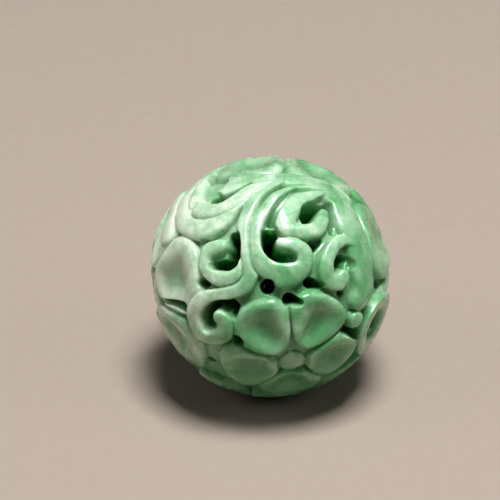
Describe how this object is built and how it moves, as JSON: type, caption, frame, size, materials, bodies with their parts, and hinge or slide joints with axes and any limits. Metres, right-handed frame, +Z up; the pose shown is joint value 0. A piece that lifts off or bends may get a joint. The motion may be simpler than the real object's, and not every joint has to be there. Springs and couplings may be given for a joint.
{
  "type": "carved jade bead",
  "caption": "Round openwork jade bead carved with flowers and scrolls, hollow inside, with a straight string hole and a small flat spot to rest on.",
  "frame": {"origin": "centre of the small flat spot that the bead rests on", "axes": "+Z up through the bead's middle, -Y towards the carved scrollwork and flower in front, +X to the right as seen from the front; the string hole runs from the lower right front to the upper left back"},
  "size_m": [0.0196, 0.0196, 0.0197],
  "materials": {
    "jade": "polished translucent jade, mottled from white to mid green, darker green in the pierced holes"
  },
  "bodies": {
    "root": {"bead": "jade"}
  },
  "joints": []
}
